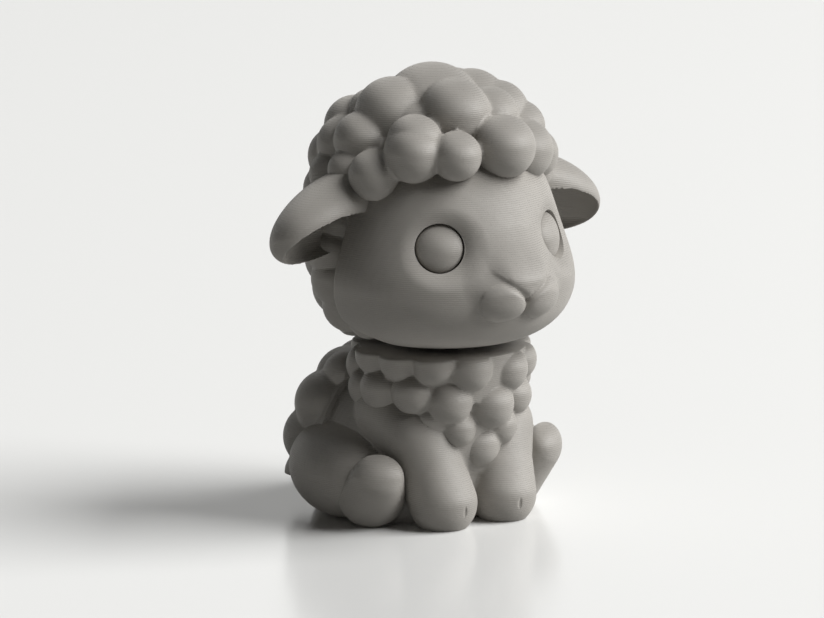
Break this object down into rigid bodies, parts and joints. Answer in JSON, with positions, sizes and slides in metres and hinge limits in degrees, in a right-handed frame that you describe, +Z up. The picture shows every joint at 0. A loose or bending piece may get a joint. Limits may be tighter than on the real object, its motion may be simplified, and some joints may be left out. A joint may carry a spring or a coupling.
{
  "type": "sheep figurine",
  "caption": "Seated lamb figurine in matt grey printed plastic, with a curly fleece, drooping ears and a head that turns on a pin in the neck.",
  "frame": {"origin": "on the floor, under the middle of the whole figure", "axes": "+Z up; the lamb faces -Y; its left side is +X"},
  "size_m": [0.0398, 0.0326, 0.046],
  "materials": {
    "skin": "matt, with fine horizontal print layers",
    "fleece": "matt, with fine horizontal print layers",
    "eyes": "matt, with fine horizontal print layers",
    "pin": "matt"
  },
  "bodies": {
    "body": {"torso": "skin", "neck_pin": "pin", "collar_and_bib": "fleece", "back_fleece": "fleece", "tail": "fleece", "right_foreleg": "skin", "right_thigh": "skin", "right_hind_foot": "skin", "left_foreleg": "skin", "left_thigh": "skin", "left_hind_foot": "skin"},
    "head": {"head": "skin", "head_fleece": "fleece", "right_ear": "skin", "right_eye": "eyes", "left_ear": "skin", "left_eye": "eyes"}
  },
  "joints": [
    {"name": "head_turn", "type": "hinge", "parent": "body", "child": "head", "pos_m": [0, -0.0016, 0.018], "axis": [0, 0, 1], "continuous": true}
  ]
}
